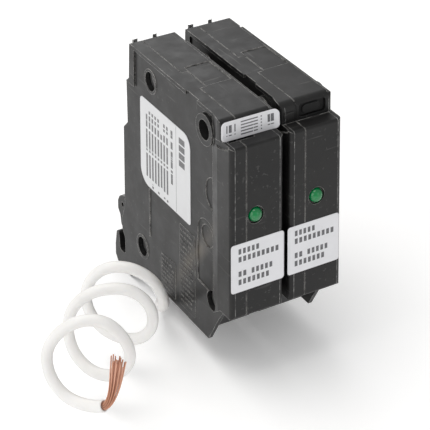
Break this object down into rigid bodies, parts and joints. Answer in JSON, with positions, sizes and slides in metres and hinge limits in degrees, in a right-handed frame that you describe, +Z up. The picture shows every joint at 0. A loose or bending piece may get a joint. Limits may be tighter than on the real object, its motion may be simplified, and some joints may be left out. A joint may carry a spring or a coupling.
{
  "type": "plug-on surge arrester module",
  "caption": "Narrow plug-on breaker-style surge arrester with side-by-side cases, indicator lamps, rail hook feet, bus clips and a coiled white neutral lead.",
  "frame": {"origin": "midway between the two poles, on the seating plane of the flat back, at the middle height of the back seat", "axes": "+X to the right seen from the front, +Y into the panel, +Z up towards the bus-clip end"},
  "size_m": [0.0908, 0.0814, 0.0782],
  "materials": {
    "case_plastic": "fine moulded grain",
    "tinned_copper": "tin plated, satin",
    "spring_steel": "satin",
    "copper": "rolled copper, satin",
    "epoxy": "dipped epoxy coating",
    "solder": "soft satin",
    "brass_arm": "satin",
    "pin_steel": "turned",
    "insulator_white": "moulded",
    "board": "solder mask",
    "lamp_green": "translucent green lens",
    "resistor_body": "lacquer",
    "wire_blue": "insulated hook-up wire",
    "fish_paper": "grey pressed board",
    "plug_plastic": "smooth moulded",
    "label_white": "printed film label",
    "rivet_steel": "zinc plated",
    "label_grey": "printed film label",
    "wire_white": "smooth wire insulation",
    "bare_copper": "bright drawn strands"
  },
  "bodies": {
    "root": {"left_cover": "case_plastic", "left_case": "case_plastic", "left_bus_clip": "tinned_copper", "left_clip_spring": "spring_steel", "left_line_strap": "copper", "left_varistor": "epoxy", "left_varistor_tabs": "tinned_copper", "left_solder_pad": "solder", "left_arm_pin": "pin_steel", "left_plunger_spring": "spring_steel", "left_lamp_board": "board", "left_lamp_lens": "lamp_green", "left_lamp_leads": "tinned_copper", "left_resistor": "resistor_body", "left_board_wires": "wire_blue", "left_neutral_strap": "copper", "left_barrier_sheet": "fish_paper", "left_window_plug": "plug_plastic", "left_foot_spring": "spring_steel", "left_front_label": "label_white", "right_cover": "case_plastic", "right_case": "case_plastic", "right_bus_clip": "tinned_copper", "right_clip_spring": "spring_steel", "right_line_strap": "copper", "right_varistor": "epoxy", "right_varistor_tabs": "tinned_copper", "right_solder_pad": "solder", "right_arm_pin": "pin_steel", "right_plunger_spring": "spring_steel", "right_lamp_board": "board", "right_lamp_lens": "lamp_green", "right_lamp_leads": "tinned_copper", "right_resistor": "resistor_body", "right_board_wires": "wire_blue", "right_neutral_strap": "copper", "right_barrier_sheet": "fish_paper", "right_window_plug": "plug_plastic", "right_foot_spring": "spring_steel", "right_front_label": "label_white", "through_rivets": "rivet_steel", "side_label": "label_grey", "approval_label": "label_white", "neutral_jumper": "copper", "neutral_terminal": "copper", "wire_grommet": "plug_plastic", "wire_crimp": "tinned_copper", "pigtail_insulation": "wire_white", "pigtail_conductor": "copper", "pigtail_strands": "bare_copper"},
    "left_arm": {"left_trip_arm": "brass_arm"},
    "left_plunger": {"left_trip_plunger": "insulator_white"},
    "right_arm": {"right_trip_arm": "brass_arm"},
    "right_plunger": {"right_trip_plunger": "insulator_white"}
  },
  "joints": [
    {"name": "left_arm_trip", "type": "hinge", "parent": "root", "child": "left_arm", "pos_m": [-0.00565, -0.0211, 0.0215], "axis": [-1, 0, 0], "range_deg": [0, 25]},
    {"name": "left_plunger_rise", "type": "slide", "parent": "root", "child": "left_plunger", "axis": [0, 0, 1], "range_m": [0, 0.0045], "deforming": ["left_plunger_spring"]},
    {"name": "right_arm_trip", "type": "hinge", "parent": "root", "child": "right_arm", "pos_m": [0.0134, -0.0211, 0.0215], "axis": [-1, 0, 0], "range_deg": [0, 25]},
    {"name": "right_plunger_rise", "type": "slide", "parent": "root", "child": "right_plunger", "axis": [0, 0, 1], "range_m": [0, 0.0045], "deforming": ["right_plunger_spring"]}
  ],
  "couplings": [
    {"joint": "left_plunger_rise", "follows": "left_arm_trip", "m_per_rad": 0.01},
    {"joint": "right_plunger_rise", "follows": "right_arm_trip", "m_per_rad": 0.01}
  ]
}
